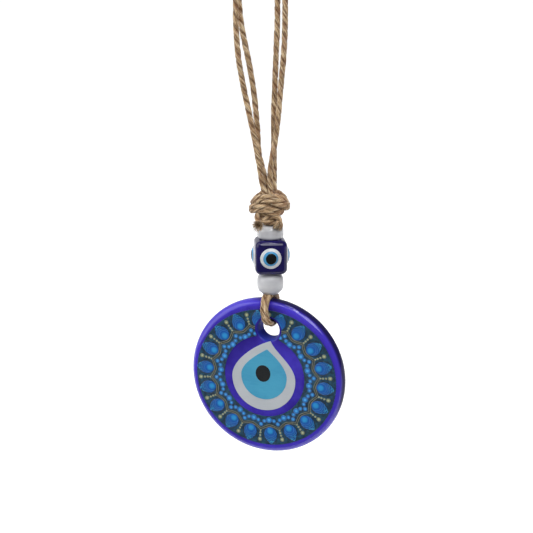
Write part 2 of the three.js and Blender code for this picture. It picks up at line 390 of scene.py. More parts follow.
def growFibres(bm, uvLayer, fibres):
    # each fibre is a path of five points and its thickness: one grid is cut into strips of four rows,
    # and each strip is rolled into a three-sided fibre
    rows = 4 * len(fibres) - 1
    made = bmesh.ops.create_grid(bm, x_segments=4, y_segments=rows, size=0.5, calc_uvs=False)["verts"]
    flat = {v: (round((v.co.x + 0.5) * 4), round((v.co.y + 0.5) * rows)) for v in made}
    faces = {f for v in made for f in v.link_faces}
    between = [f for f in faces if min(flat[v][1] for v in f.verts) % 4 == 3]
    bmesh.ops.delete(bm, geom=between, context="FACES")
    faces = [f for f in faces if f.is_valid]
    for face in faces:
        face.smooth = True
        for corner in face.loops:
            i, j = flat[corner.vert]
            corner[uvLayer].uv = (i * 0.8 + j // 4, 0.2 + 0.03 * (j % 4))
    seam = []
    for vert, (i, j) in flat.items():
        path, thick = fibres[j // 4]
        ahead = (path[min(4, i + 1)] - path[max(0, i - 1)]).normalized()
        side = ahead.orthogonal().normalized() if ahead.length > 0.5 else Vector((1, 0, 0))
        turn = 2 * math.pi * (j % 4) / 3
        around = side * math.cos(turn) + ahead.cross(side) * math.sin(turn)
        vert.co = path[i] + around * thick * (1 - 0.14 * i)
        if j % 4 in (0, 3):
            seam.append(vert)
    bmesh.ops.remove_doubles(bm, verts=seam, dist=1e-8)
    openEdges = {e for v in flat if v.is_valid for e in v.link_edges if e.is_boundary}
    bmesh.ops.holes_fill(bm, edges=list(openEdges), sides=3)


def newObject(name, bm, material):
    bmesh.ops.recalc_face_normals(bm, faces=bm.faces)
    mesh = bpy.data.meshes.new(name)
    bm.to_mesh(mesh)
    bm.free()
    mesh.materials.append(material)
    made = bpy.data.objects.new(name, mesh)
    bpy.context.collection.objects.link(made)
    return made


def newPiece(name, bm, material, slot, nodes, body=None):
    # a piece that stands for CAD nodes; one with no body is not attached to any
    piece = newObject(name, bm, material)
    if body:
        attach(piece, body)
    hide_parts(*nodes)
    return piece


def startTwine():
    bm = bmesh.new()
    return bm, bm.loops.layers.uv.new("along")


# the two hanging loops: pairs of along and up, in millimetres

loops = {
    "front": {
        "depth": 1.5, "seed": 1,
        "left": [(-2.2, -113), (-3.5, -108), (-4.6, -101), (-6.5, -90), (-9, -78), (-11.5, -66),
                 (-13.3, -55), (-14.2, -43), (-14.2, -31), (-14.1, -20)],
        "crown": {"along": -4, "up": -8, "radius": 10},
        "right": [(6, -20), (6, -31), (5.95, -43), (5.4, -55), (4.4, -66), (3.4, -78), (2, -90),
                  (0.9, -96), (0.15, -101), (-0.2, -107), (0.3, -113)],
    },
    "back": {
        "depth": -1.5, "seed": 2,
        "left": [(-1.1, -113), (-2.1, -108), (-3.6, -101), (-4.8, -96), (-5.6, -84), (-6.7, -72), (-8.5, -60),
                 (-10.7, -49), (-12.3, -40), (-13, -31), (-13.1, -18)],
        "crown": {"along": -5, "up": -6, "radius": 8},
        "right": [(2.9, -18), (2.9, -31), (2.8, -43), (2.3, -55), (1.9, -66), (1.5, -78), (1.5, -90),
                  (1.6, -101), (1.6, -113)],
    },
}


def hangLoop(side, loop):
    crown = loop["crown"]
    over = []
    for angle in range(180, -1, -30):
        turn = math.radians(angle)
        over.append((crown["along"] + crown["radius"] * math.cos(turn),
                     crown["up"] + crown["radius"] * math.sin(turn)))
    points = [inLoopPlane(along, loop["depth"], up) for along, up in loop["left"] + over + loop["right"]]
    bm, uvLayer = startTwine()
    strand = layTwine(bm, uvLayer, points, twine["free"], loop["seed"])
    addHairs(bm, uvLayer, strand, twine["free"], "loops", loop["seed"])
    line, length, _ = strand
    piece = newPiece(side + "_loop", bm, jute, "jute_twine", ["loop_" + side])
    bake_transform(piece)
    line[::3].tolist() + [line[-1].tolist()]


for side, loop in loops.items():
    hangLoop(side, loop)
print("loops made")


# the knot: two strands wound twice round the other four, and two cut ends
# each place is along the loops' plane, in front of it and up, in millimetres

flares = {"leftEnd": 1.15, "rightEnd": 0.5}     # how far each cut end opens
knot = {
    "upperTurn": [(-0.5, -2, -111.6), (-2.5, -4.2, -112.8), (-5.5, -4, -115), (-7.3, -1.6, -116.5),
                  (-7.3, 0.8, -116.3), (-5.7, 3.4, -114.3), (-3.2, 4.8, -113.2), (-1.5, 5.2, -113.2),
                  (0.6, 5.3, -113.9), (3.4, 4.8, -115.2), (5.9, 3.4, -116.4), (7.4, 0.6, -117.5),
                  (6.3, -3, -118), (3.3, -4.8, -117.5), (-0.5, -5.2, -117.2), (-4.5, -4.5, -117.8),
                  (-7.4, -2, -118.6), (-8.1, 0.5, -118.8), (-6.9, 3.1, -117.7), (-4.8, 4.6, -117.45),
                  (-1.5, 5.3, -117.75), (1.8, 5.1, -118.9), (3.8, 4.2, -119.5), (4.8, 2.4, -119.8),
                  (3.4, 0.3, -120.5)],
    "lowerTurn": [(0.8, -2.4, -111.6), (-1.5, -4.8, -114.4), (-4.8, -4.4, -116.4), (-6.6, -1.8, -117.4),
                  (-6.6, 1.3, -116.8), (-5.4, 3.5, -115.7), (-3.2, 5.0, -114.8), (-1.5, 5.5, -114.9),
                  (0.6, 5.7, -115.4), (3.4, 5.3, -116.6), (5.9, 3.9, -117.6), (7.3, 1.0, -118.5),
                  (6.3, -2.4, -119.7), (3.4, -4.4, -119.6), (-0.5, -5.0, -119.4), (-4.6, -4.3, -119.8),
                  (-7.4, -2, -120.3), (-8.1, -0.1, -120.2), (-7.0, 2.6, -119.7), (-4.8, 4.4, -119.2),
                  (-1.5, 5.4, -119.6), (1.0, 5.4, -120.6), (2.8, 4.9, -120.9), (4.3, 4.0, -120.2),
                  (4.9, 1.8, -119.2)],
    "shoulder": [(0.5, -3.5, -112), (2.3, -1.2, -112.5), (4.0, 1.3, -112.9), (5.5, 2.2, -114.1),
                 (6.5, 1.2, -115.7), (6.8, -1.4, -117.0), (5, -3.8, -118.4)],
    "innerShoulder": [(-0.5, -1.5, -113.2), (1.3, 0.2, -113.4), (2.9, 2.6, -113.3), (4.2, 3.4, -114.5),
                      (5.2, 2.6, -116.2), (5.6, 0, -117.4), (4.4, -2.4, -118)],
    "backShoulder": [(1.6, -2.4, -112.3), (3.6, -1.9, -112.9), (5.2, -1.4, -113.9), (6.2, -1.8, -115.6),
                     (5.6, -3.4, -117)],
    "leftEnd": [(-3.4, 2.6, -119), (-5.2, 3.4, -120.5), (-5.7, 4.0, -122.3), (-5.2, 5.0, -124.1),
                (-5.2, 6.7, -125.1), (-5.5, 8.1, -125.3)],
    "rightEnd": [(-4.2, 2.4, -121.4), (-2.6, 3.6, -122.9), (-0.6, 4.3, -122.1), (1.6, 5.0, -121.5),
                 (3.3, 5.3, -122.2), (3.8, 5.5, -123.6), (3.4, 5.9, -125.1), (3.0, 6.3, -126.3)],
    "underneath": [(-4.4, 1.5, -120.5), (-2.9, 3.2, -121.3), (-0.9, 3.6, -122.6), (1.2, 3.2, -123.8),
                   (2.4, 1.4, -124.4)],
    "collar": [(-4.2, 0.5, -122.0), (-4.1, 2.8, -123.4), (-2.2, 3.9, -124.3), (0.2, 4.1, -124.5),
               (2.6, 3.2, -124.5), (3.5, 0.6, -124.3), (2.4, -2.4, -123.8), (-1.0, -3.3, -123.4),
               (-3.4, -1.6, -123)],
}


def tieKnot():
    bm, uvLayer = startTwine()
    for seed, (name, places) in enumerate(knot.items()):
        points = [inLoopPlane(*place) for place in places]
        flare = flares.get(name, 0)
        strand = layTwine(bm, uvLayer, points, twine["pressed"], seed + 5, flare)
        addHairs(bm, uvLayer, strand, twine["pressed"], "knot", seed + 20)
        if flare:
            frayEnd(bm, uvLayer, strand, seed, 0.6 + 0.5 * flare)
    newPiece("knot_turns", bm, jute, "jute_twine",
             ["knot_core", "knot_upper_wrap", "knot_lower_wrap", "cut_end_left", "cut_end_right"], "knot")


def frayEnd(bm, uvLayer, strand, seed, spread):
    # stiff fibres that stand out of a cut end
    line, _, across = strand
    chance = random.Random(seed)
    tip = Vector(line[-1])
    ahead = (tip - Vector(line[-4])).normalized()
    first, second = across[-1]
    fibres = []
    for _ in range(twine["frayed"]):
        turn = chance.uniform(0, 2 * math.pi)
        out = first * math.cos(turn) + second * math.sin(turn)
        reach = chance.uniform(1.2, 2.4) * spread * mm
        run = chance.uniform(-0.6, 1.3) * mm
        curl = chance.uniform(-0.5, 0.3) * mm
        base = tip - ahead * 2.6 * mm + out * 1.3 * mm
        end = tip + ahead * run + out * reach
        path = [base.lerp(end, i / 4) + out * curl * math.sin(math.pi * i / 4) for i in range(5)]
        fibres.append((path, chance.uniform(0.08, 0.16) * mm))
    growFibres(bm, uvLayer, fibres)


tieKnot()
print("knot tied")


# four strands go down through the beads, and two of them on each side go round the glass

strands = {
    "offset": 1.3, "top": -111.5, "end": -155.4,
    "leftBight": [(-1.3, -1.3, -154), (-1.3, -1.3, -155.4), (-1.3, -1.6, -156.4), (-1.3, -2.6, -157.4),
                  (-1.4, -4.5, -159), (-1.4, -5.6, -161), (-1.35, -5.8, -163.2), (-1.2, -5.6, -165),
                  (-0.8, -5.5, -167.1), (-0.2, -4.75, -168.8), (0, -3.2, -169.5), (0.1, 0, -169.4),
                  (-0.1, 3, -169.4), (-0.3, 4.6, -168.7), (-0.6, 5.4, -167.1), (-0.8, 5.5, -165),
                  (-0.9, 5.6, -163.2), (-1.1, 5.6, -161), (-1.2, 4.5, -159), (-1.3, 2.6, -157.4),
                  (-1.3, 1.6, -156.4), (-1.3, 1.3, -155.4), (-1.3, 1.3, -154)],
    "rightBight": [(1.3, -1.3, -154), (1.3, -1.3, -155.4), (1.2, -1.6, -156.4), (0.8, -2.8, -157.4),
                   (0.35, -4.8, -158.9), (0.15, -5.8, -161), (0.15, -6.2, -163.2), (0.35, -6.3, -165),
                   (0.9, -6.1, -167.1), (1.5, -5.1, -168.9), (1.8, -3.3, -169.8), (1.8, 0, -170),
                   (1.6, 3, -169.9), (1.5, 4.6, -168.9), (1.4, 5.4, -167.3), (1.2, 5.6, -165),
                   (1.2, 5.6, -163.2), (1.2, 5.6, -161), (1.3, 4.5, -159), (1.3, 2.6, -157.4),
                   (1.3, 1.6, -156.4), (1.3, 1.3, -155.4), (1.3, 1.3, -154)],
}


def threadBeads():
    bm, uvLayer = startTwine()
    for seed, (right, behind) in enumerate([(-1, -1), (1, -1), (-1, 1), (1, 1)]):
        x, y = right * strands["offset"], behind * strands["offset"]
        points = [Vector((x, y, z)) * mm for z in (strands["top"], -120, -130, -140, -150, strands["end"])]
        layTwine(bm, uvLayer, points, twine["pressed"], seed + 11)
    newPiece("bead_strands", bm, jute, "jute_twine",
             [f"bead_strand_{depth}_{side}" for depth in ("front", "back") for side in ("left", "right")], "knot")


def threadDisc():
    bm, uvLayer = startTwine()
    for seed, side in enumerate(("left", "right")):
        points = [Vector(place) * mm for place in strands[side + "Bight"]]
        strand = layTwine(bm, uvLayer, points, twine["pressed"], seed + 31)
        addHairs(bm, uvLayer, strand, twine["pressed"], "disc", seed + 41)
    piece = newPiece("disc_bights", bm, jute, "jute_twine", ["disc_bight_left", "disc_bight_right"])
    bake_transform(piece)


threadBeads()
threadDisc()
print("beads and disc threaded")


# beads

beads = {
    "bore": 3.25, "segments": 96,
    "upper": {"top": -126.2, "height": 6.15, "radius": 5.65, "rounding": 2.6, "footRounding": 1.5,
              "boreRounding": 0.35},
    "lower": {"middle": -152.15, "height": 9.4, "radius": 5.75, "fullness": 3.0, "rim": 0.3},
    "light": rgb(214, 214, 216), "shade": rgb(196, 197, 202), "speck": rgb(160, 160, 165),
}


def spinProfile(bm, outline, steps, closed=True):
    # an outline in the XZ plane turned about Z
    corners = [bm.verts.new(Vector(corner) * mm) for corner in outline]
    edges = [bm.edges.new(pair) for pair in zip(corners, corners[1:] + (corners[:1] if closed else []))]
    bmesh.ops.spin(bm, geom=corners + edges, cent=(0, 0, 0), axis=(0, 0, 1), angle=2 * math.pi, steps=steps,
                   use_merge=True)
    bmesh.ops.remove_doubles(bm, verts=bm.verts, dist=1e-7)
    for face in bm.faces:
        face.smooth = True


def arc(x, z, radius, start, end, steps):
    angles = [math.radians(start + (end - start) * i / steps) for i in range(steps + 1)]
    return [(x + radius * math.cos(a), 0, z + radius * math.sin(a)) for a in angles]


def whiteGlassFinish():
    finish = Finish("white glass", beads["light"], 0.12,
                    Subsurface_Weight=0.15, Subsurface_Radius=(0.002, 0.002, 0.002))
    place = finish.place()
    clouds = finish.noise(place, 160, 3)
    winding = finish.noise(finish.stretched(place, (60, 60, 520)), 1, 3)
    specks = finish.noise(place, 2600, 2).step(0.72, 0.78)
    colour = finish.mix((clouds * 0.6 + winding * 0.4).step(0.3, 0.75), beads["shade"], beads["light"])
    finish.use("Base Color", finish.mix(specks * 0.35, colour, beads["speck"]))
    finish.use("Roughness", clouds * 0.1 + 0.08)
    finish.bump(winding + clouds * 0.5, 0.12 * mm, 0.5)
    return finish.material


def makeBeads():
    material = whiteGlassFinish()
    bore = beads["bore"]
    upper = beads["upper"]
    half = upper["height"] / 2
    middle = upper["top"] - half
    rounding, foot, inner = upper["rounding"], upper["footRounding"], upper["boreRounding"]
    outline = arc(upper["radius"] - foot, middle - half + foot, foot, -90, 0, 10)
    outline += arc(upper["radius"] - rounding, middle + half - rounding, rounding, 0, 90, 10)
    outline += arc(bore + inner, middle + half - inner, inner, 90, 180, 4)[1:]
    outline += arc(bore + inner, middle - half + inner, inner, 180, 270, 4)[:-1]
    bm = bmesh.new()
    spinProfile(bm, outline, beads["segments"])
    newPiece("top_bead", bm, material, "white_glass", ["upper_white_bead"], "upper_bead")

    # the lower bead's side is a full oval, cut off where its flat rim begins
    lower = beads["lower"]
    middle = lower["middle"]
    half = lower["height"] / 2
    flat = bore + lower["rim"]
    outline = []
    for i in range(33):
        angle = math.pi * (i / 32 - 0.5)
        rise = math.copysign(abs(math.sin(angle)) ** (2 / lower["fullness"]), angle)
        out = math.cos(angle) ** (2 / lower["fullness"]) * lower["radius"]
        if out > flat:
            outline.append((round(out, 6), 0, round(middle + half * rise, 6)))
    outline += [(flat, 0, middle + half), (bore + 0.1, 0, middle + half), (bore, 0, middle + half - 0.2),
                (bore, 0, middle - half + 0.2), (bore + 0.1, 0, middle - half), (flat, 0, middle - half)]
    bm = bmesh.new()
    spinProfile(bm, outline, beads["segments"])
    newPiece("bottom_bead", bm, material, "white_glass", ["lower_white_bead"], "lower_bead")


makeBeads()
print("white beads made")


# cube bead with an eye on each side

cube = {"width": 13.8, "height": 15, "middle": -139.9, "turn": math.radians(24.5), "rounding": 2.6,
        "colour": (30, 22, 98), "deep": (20, 14, 66)}
eye = {
    "eye_white": {"radius": 4.6, "rise": 1.35, "base": -0.05, "shift": (-0.35, 0.1), "colour": (226, 228, 232)},
    "eye_iris": {"radius": 3.25, "rise": 0.8, "base": 0.7, "shift": (-0.45, 0.2), "colour": (78, 158, 210)},
    "eye_pupil": {"radius": 2.4, "rise": 0.5, "base": 1.08, "shift": (-0.4, 0.2), "colour": (14, 18, 18)},
}


def glassFinish(name, colour, deep):
    finish = Finish(name, rgb(*colour), 0.06, Specular_IOR_Level=0.35)
    place = finish.place()
    swirl = finish.noise(place, 210, 4, 0.6)
    streak = finish.noise(finish.stretched(place, (90, 90, 420)), 1, 3)
    finish.use("Base Color", finish.mix((swirl * 0.6 + streak * 0.4).step(0.3, 0.75), rgb(*deep), rgb(*colour)))
    finish.use("Roughness", swirl * 0.1 + 0.036)
    finish.bump(swirl + streak * 0.5, 0.1 * mm, 0.4)
    return finish.material


def makeCube():
    bm = bmesh.new()
    bmesh.ops.create_cube(bm, size=mm)
    bmesh.ops.scale(bm, verts=bm.verts, vec=(cube["width"], cube["width"], cube["height"]))
    bmesh.ops.bevel(bm, geom=bm.edges[:], offset=cube["rounding"] * mm, segments=10, profile=0.5,
                    affect="EDGES", material=-1)
    # the bore: the flat ends are filled again round a circle, and the two circles are joined
    ends = [f for f in bm.faces if abs(f.normal.z) > 0.999 and f.calc_area() > 20 * mm * mm]
    bmesh.ops.delete(bm, geom=ends, context="FACES_ONLY")
    rims = []
    for z in (-cube["height"] / 2 * mm, cube["height"] / 2 * mm):
        ring = bmesh.ops.create_circle(bm, segments=48, radius=beads["bore"] * mm,
                                       matrix=Matrix.Translation((0, 0, z)))["verts"]
        rim = {e for v in ring for e in v.link_edges}
        square = {e for e in bm.edges if e.is_boundary and all(abs(v.co.z - z) < 1e-6 for v in e.verts)}
        bmesh.ops.triangle_fill(bm, edges=list(rim | square), use_beauty=True)
        rims += list(rim)
    bmesh.ops.bridge_loops(bm, edges=rims)
    for face in bm.faces:
        face.smooth = True
    bmesh.ops.rotate(bm, verts=bm.verts, cent=(0, 0, 0), matrix=Matrix.Rotation(cube["turn"], 3, "Z"))
    bmesh.ops.translate(bm, verts=bm.verts, vec=(0, 0, cube["middle"] * mm))
    material = glassFinish("navy glass", cube["colour"], cube["deep"])
    newPiece("cube_glass", bm, material, "navy_glass", ["cube_bead"], "cube")


def makeEyes():
    finishes = {}
    for layer, look in eye.items():
        deep = tuple(int(part * 0.86) for part in look["colour"])
        finishes[layer] = glassFinish(layer.replace("_", " "), look["colour"], deep)
    centre = Matrix.Translation((0, 0, cube["middle"] * mm))
    for number, side in enumerate(("front", "right", "back", "left")):
        wander = 0.15 * min(1, number)      # the dots on the other sides are a little off
        for layer, look in eye.items():
            chance = random.Random(number * 10 + len(layer))
            radius, rise = look["radius"], look["rise"]
            ball = (radius ** 2 + rise ** 2) / (2 * rise)
            edge = math.degrees(math.asin(radius / ball))
            outline = [(0, 0, -0.3), (radius * 0.99, 0, -0.3)]
            outline += arc(0, rise - ball, ball, 90 - edge, 90, 12)
            bm = bmesh.new()
            spinProfile(bm, outline, 64, closed=False)
            across, up = [part + chance.uniform(-wander, wander) for part in look["shift"]]
            out = cube["width"] / 2 + look["base"]
            turn = Matrix.Rotation(cube["turn"] + number * math.pi / 2, 4, "Z")
            facing = Matrix.Translation(Vector((across, -out, up)) * mm) @ Matrix.Rotation(math.pi / 2, 4, "X")
            bmesh.ops.transform(bm, verts=bm.verts, matrix=centre @ turn @ facing)
            name = side + "_" + layer.replace("eye_", "dot_")
            newPiece(name, bm, finishes[layer], layer, [side + "_" + layer], "cube")


makeCube()
makeEyes()
print("cube bead made")


# glass disc: flat faces, a melted round rim and a hole for the twine

disc = {
    "middle": (-1, 0, -194.5), "radius": 35.4, "thickness": 7.5, "rimRounding": (3.2, 3.6),
    "hole": (1.35, 22), "holeRadius": 5, "holeRounding": 0.9, "holeTaper": 0.1,
    "segments": 192, "holeSegments": 72, "rimSteps": 14, "holeSteps": 6,
    # the rim colour is painted light; the upper left, edge and bore colours are painted shade
    "light": rgb(72, 58, 196), "deep": rgb(48, 30, 150), "seed": rgb(120, 110, 225), "rim": rgb(72, 58, 208),
    "upperLeftShade": rgb(36, 18, 124), "edge": rgb(26, 22, 62),
    "boreLight": rgb(48, 66, 178), "boreDeep": rgb(30, 34, 120), "boreShadeColour": rgb(38, 48, 150),
}


def discPlace(x, z, y=0.0):
    return Vector((disc["middle"][0] + x, disc["middle"][1] + y, disc["middle"][2] + z)) * mm


def cobaltFinish():
    finish = Finish("cobalt glass", disc["light"], 0.03, Transmission_Weight=0.12, IOR=1.5)
    place = finish.place()
    swirl = finish.noise(place, 70, 4, 0.55)
    seeds = finish.noise(place, 1400, 2).step(0.74, 0.8)
    colour = finish.mix(swirl.step(0.3, 0.7), disc["deep"], disc["light"])
    colour = finish.mix(seeds * 0.5, colour, disc["seed"])

    # painted light and shade: the rim lighter and dark at its upper right edge, the face deeper at its upper
    # left, the bore dark and matt
    x, _, z = finish.parts(place)
    middle = discPlace(0, 0) / mm
    x = x * 1000 - middle.x
    z = z * 1000 - middle.z
    radius = (x * x + z * z).root()
    # painted light: the rounded rim is mixed toward a lighter blue
    colour = finish.mix(radius.step(31, 34) * 0.7, colour, disc["rim"])
    # painted shade: the face darkens toward its upper left
    colour = finish.mix((z - x).step(14, 26) * radius.step(24, 20) * 0.6, colour, disc["upperLeftShade"])
    # painted shade: the outer edge at the upper right is mixed toward a dark colour
    rim = radius.step(disc["radius"] - 1.2, disc["radius"] - 0.2)
    shaded = rim * (x * 0.8 + z * 0.6 + swirl * 6).step(16, 28)
    colour = finish.mix(shaded * 0.85, colour, disc["edge"])
    # painted shade: the bore wall is coloured dark blue
    x = x - disc["hole"][0]
    z = z - disc["hole"][1]
    bore = (x * x + z * z).root().step(disc["holeRadius"] + 0.7, disc["holeRadius"] + 0.1)
    wall = finish.mix(swirl.step(0.35, 0.65), disc["boreDeep"], disc["boreLight"])
    finish.use("Base Color", finish.mix(bore, colour, wall))
    finish.use("Roughness", swirl * 0.03 + 0.01)
    finish.bump(swirl, 0.4 * mm, 0.06)
    # painted shade: a dark matt sheet laid over the bore wall
    paintedBoreShade = finish.node("ShaderNodeBsdfDiffuse", None, {"Color": disc["boreShadeColour"]})
    # painted shade: a dark diffuse sheet laid over the upper right edge
    dark = finish.node("ShaderNodeBsdfDiffuse", None, {"Color": disc["edge"]})
    surface = finish.node("ShaderNodeMixShader", None, {0: bore * 0.85, 1: finish.shaderOut(), 2: paintedBoreShade})
    surface = finish.node("ShaderNodeMixShader", None, {0: shaded * 0.6, 1: surface, 2: dark})
    finish.feed(finish.nodes["Material Output"].inputs["Surface"], surface)
    return finish.material


def growRing(bm, edges, move):
    # pull a ring of edges on to the next ring
    made = bmesh.ops.extrude_edge_only(bm, edges=edges)["geom"]
    verts = [g for g in made if isinstance(g, bmesh.types.BMVert)]
    for vert in verts:
        vert.co = move(vert.co)
    return [g for g in made if isinstance(g, bmesh.types.BMEdge) and g.is_boundary]


def makeDisc():
    # the front half: a flat face with a hole, its rim and bore pulled out ring by ring; then it is mirrored
    bm = bmesh.new()
    half = disc["thickness"] / 2
    across, deep = disc["rimRounding"]
    flat = disc["radius"] - across
    holeX, holeZ = disc["hole"]
    holeRadius, rounding = disc["holeRadius"], disc["holeRounding"]
    lip = 0.15      # width of the first narrow ring beside the flat face
    rings = []
    for x, z, radius, segments in ((0, 0, flat - lip, disc["segments"]),
                                   (holeX, holeZ, holeRadius + rounding + lip, disc["holeSegments"])):
        lay = Matrix.Translation(Vector((x, -half, z)) * mm) @ Matrix.Rotation(math.pi / 2, 4, "X")
        ring = bmesh.ops.create_circle(bm, segments=segments, radius=radius * mm, matrix=lay)["verts"]
        rings.append(list({e for v in ring for e in v.link_edges}))
    bmesh.ops.triangle_fill(bm, edges=rings[0] + rings[1], use_beauty=True)

    def ringTo(radius, y, x=0.0, z=0.0):
        centre = Vector((x, 0, z)) * mm

        def move(co):
            return centre + (Vector((co.x, 0, co.z)) - centre).normalized() * radius * mm + Vector((0, y * mm, 0))
        return move

    edges = growRing(bm, rings[0], ringTo(flat, -half))
    for i in range(disc["rimSteps"]):
        angle = math.radians(90 * (i + 1) / disc["rimSteps"])
        edges = growRing(bm, edges, ringTo(flat + across * math.sin(angle), deep * (1 - math.cos(angle)) - half))
    growRing(bm, edges, ringTo(disc["radius"], 0))
    edges = growRing(bm, rings[1], ringTo(holeRadius + rounding, -half, holeX, holeZ))
    for i in range(disc["holeSteps"]):
        angle = math.radians(90 * (i + 1) / disc["holeSteps"])
        edges = growRing(bm, edges, ringTo(holeRadius + rounding * (1 - math.sin(angle)),
                                           rounding * (1 - math.cos(angle)) - half, holeX, holeZ))
    growRing(bm, edges, ringTo(holeRadius, 0, holeX, holeZ))
    bmesh.ops.mirror(bm, geom=bm.verts[:] + bm.edges[:] + bm.faces[:], axis="Y", merge_dist=1e-6)
    bmesh.ops.remove_doubles(bm, verts=bm.verts, dist=1e-7)
    # the bore narrows towards the back
    for vert in bm.verts:
        out = Vector((vert.co.x - holeX * mm, 0, vert.co.z - holeZ * mm))
        if out.length < (holeRadius + rounding + lip + 0.05) * mm:
            vert.co -= out * disc["holeTaper"] * (vert.co.y / (disc["thickness"] * mm) + 0.5)
    for face in bm.faces:
        face.smooth = True
    bmesh.ops.translate(bm, verts=bm.verts, vec=discPlace(0, 0))
    newPiece("cobalt_disc", bm, cobaltFinish(), "cobalt_glass", ["glass_disc"], "disc")


# the printed ring of dot work, measured from the disc's middle in millimetres

dotWork = {
    "middle": (-0.3, -0.15), "start": 4.1, "sectors": 18, "stretch": (1.015, 0.975),
    "outline": (0.1, -0.2, 31.9), "bareGlass": (-0.45, 0.4, 18.5),
    "dropFoot": 23.4, "dropLength": 8.4, "dropWidth": 3.15, "dropHeart": 25.55, "strokeCentre": 25.6,
    "lineAt": 22.9, "linePeak": 2.0, "lineGap": 0.42,
    # how far out each dot is, and its size; the first is on a drop's line, the rest between drops
    "beads": [(20.25, 1.28, 0.62), (20.75, 0.86, 0.38), (22.45, 0.92, 0.42)], "beadPair": 1.4,
    "sageDot": (29.85, 0.92, 0.45), "smallDots": [(28.0, 0.46), (26.65, 0.48), (25.5, 0.4)],
    "ground": rgb(16, 44, 64), "groundLight": rgb(28, 80, 106), "groundDark": rgb(10, 30, 46),
    "drop": rgb(24, 84, 166), "dropDark": rgb(18, 50, 118), "bright": rgb(45, 145, 208),
    "stroke": rgb(52, 136, 206), "tip": rgb(54, 156, 196),
    "bead": rgb(34, 112, 190), "beadHeart": rgb(74, 166, 228),
    "sage": rgb(118, 128, 98), "sageHeart": rgb(184, 190, 160),
    "line": rgb(140, 142, 116), "lineDark": rgb(22, 36, 42),
}


def sector(finish, angle, turn):
    # angle from the middle of the nearest sector, in radians
    width = 2 * math.pi / dotWork["sectors"]
    share = (angle - math.radians(turn)) / width + 0.5
    return (share - share.floor() - 0.5) * width


def dotWorkFinish():
    finish = Finish("printed dot work", dotWork["ground"], 0.22)
    x, _, z = finish.parts(finish.place())
    middle = discPlace(*dotWork["middle"]) / mm
    wide, tall = dotWork["stretch"]
    x = (x * 1000 - middle.x) / wide
    z = (z * 1000 - middle.z) / tall
    radius = (x * x + z * z).root()
    angle = finish.node("ShaderNodeMath", {"operation": "ARCTAN2"}, [x, z])
    halfSector = 180 / dotWork["sectors"]
    between = sector(finish, angle, dotWork["start"])
    onDrop = sector(finish, angle, dotWork["start"] + halfSector)
    sideB, upB = radius * between.sin(), radius * between.cos()
    sideD, upD = radius * onDrop.sin(), radius * onDrop.cos()

    def dot(side, up, at, size, offset=0.0, tall=1.0):
        away = (side.size() - offset) if offset else side
        rise = (up - at) / tall
        return (away * away + rise * rise).root().step(size + 0.12, size - 0.12)

    grain = finish.noise(finish.place(), 900, 3, 0.6)
    colour = finish.mix(grain.step(0.35, 0.7), dotWork["ground"], dotWork["groundLight"])

    # drops with a round head and a pointed outer end
    share = (upD - dotWork["dropFoot"]) / dotWork["dropLength"]
    inside = share.highest(0.0).lowest(1.0)
    width = (inside ** 0.85 * math.pi).sin().highest(0.001) ** 0.75 * dotWork["dropWidth"]
    edge = width - sideD.size()
    body = edge.step(0.0, 0.35) * share.step(0.0, 0.02) * share.step(1.0, 0.97)
    halo = edge.step(-0.8, 0.1) * share.step(-0.08, 0.0) * share.step(1.08, 0.97)
    away = upD - dotWork["strokeCentre"]
    rings = (away * away * 0.8 + sideD * sideD).root()
    stripes = (rings * 9.0).sin() * 0.5 + 0.5
    speckle = (angle * 520).sin() * 0.5 + 0.5
    strokes = stripes.step(0.35, 0.85) * speckle.step(0.1, 0.6) * rings.step(1.5, 2.2)
    tip = share.step(0.55, 0.95) * finish.noise(finish.place(), 1300, 2).step(0.46, 0.58)
    shade = finish.mix(rings.step(1.2, 4.6), dotWork["drop"], dotWork["dropDark"])
    shade = finish.mix(strokes * 0.9, shade, dotWork["stroke"])
    shade = finish.mix(tip * 0.8, shade, dotWork["tip"])
    away = upD - dotWork["dropHeart"]
    bright = (sideD * sideD + away * away).root()
    colour = finish.mix(halo * 0.7, colour, dotWork["groundDark"])
    colour = finish.mix(body, colour, shade)
    colour = finish.mix(bright.step(2.0, 0.5), colour, dotWork["bright"])
    relief = grain * 0.1 + body * 0.35 + bright.step(2.0, 0.6) * 0.5 + strokes * 0.12

    # wavy double line of tiny dots below the drops
    bend = (onDrop / math.radians(halfSector)).size()
    off = radius - (dotWork["lineAt"] + bend ** 1.7 * dotWork["linePeak"])
    pair = (off.size() - dotWork["lineGap"]).size().step(0.24, 0.08)
    beading = ((angle * (360 / 1.15)).sin() * 0.5 + 0.5).step(0.15, 0.6)
    colour = finish.mix(off.size().step(0.8, 0.5) * 0.85, colour, dotWork["lineDark"])
    colour = finish.mix(pair * (beading * 0.7 + 0.3), colour, dotWork["line"])
    relief = relief + pair * beading * 0.4

    # sage dots and the small ones below each
    out, size, heart = dotWork["sageDot"]
    sage = dot(sideB, upB, out, size, 0.0, 1.08)
    small = dot(sideB, upB, *dotWork["smallDots"][0])
    for place in dotWork["smallDots"][1:]:
        small = small.highest(dot(sideB, upB, *place))
    colour = finish.mix(sage.highest(small), colour, dotWork["sage"])
    colour = finish.mix(dot(sideB, upB, out, heart) * 0.9, colour, dotWork["sageHeart"])
    colour = finish.mix(small * 0.4, colour, dotWork["sageHeart"])

    # blue beads inside the wavy line, each with a lighter heart
    relief = relief + (sage + small) * 0.6
    onLine, paired, single = dotWork["beads"]
    for size, tone in ((1, "bead"), (2, "beadHeart")):
        blue = dot(sideD, upD, onLine[0], onLine[size])
        blue = blue.highest(dot(sideB, upB, paired[0], paired[size], dotWork["beadPair"]))
        blue = blue.highest(dot(sideB, upB, single[0], single[size]))
        colour = finish.mix(blue, colour, dotWork[tone])
        if tone == "bead":
            relief = relief + blue * 0.6

    finish.use("Base Color", colour)
    finish.use("Roughness", 0.26 - body * 0.08 + grain * 0.06)
    finish.bump(relief, 0.35 * mm, 0.8)
    return finish.material


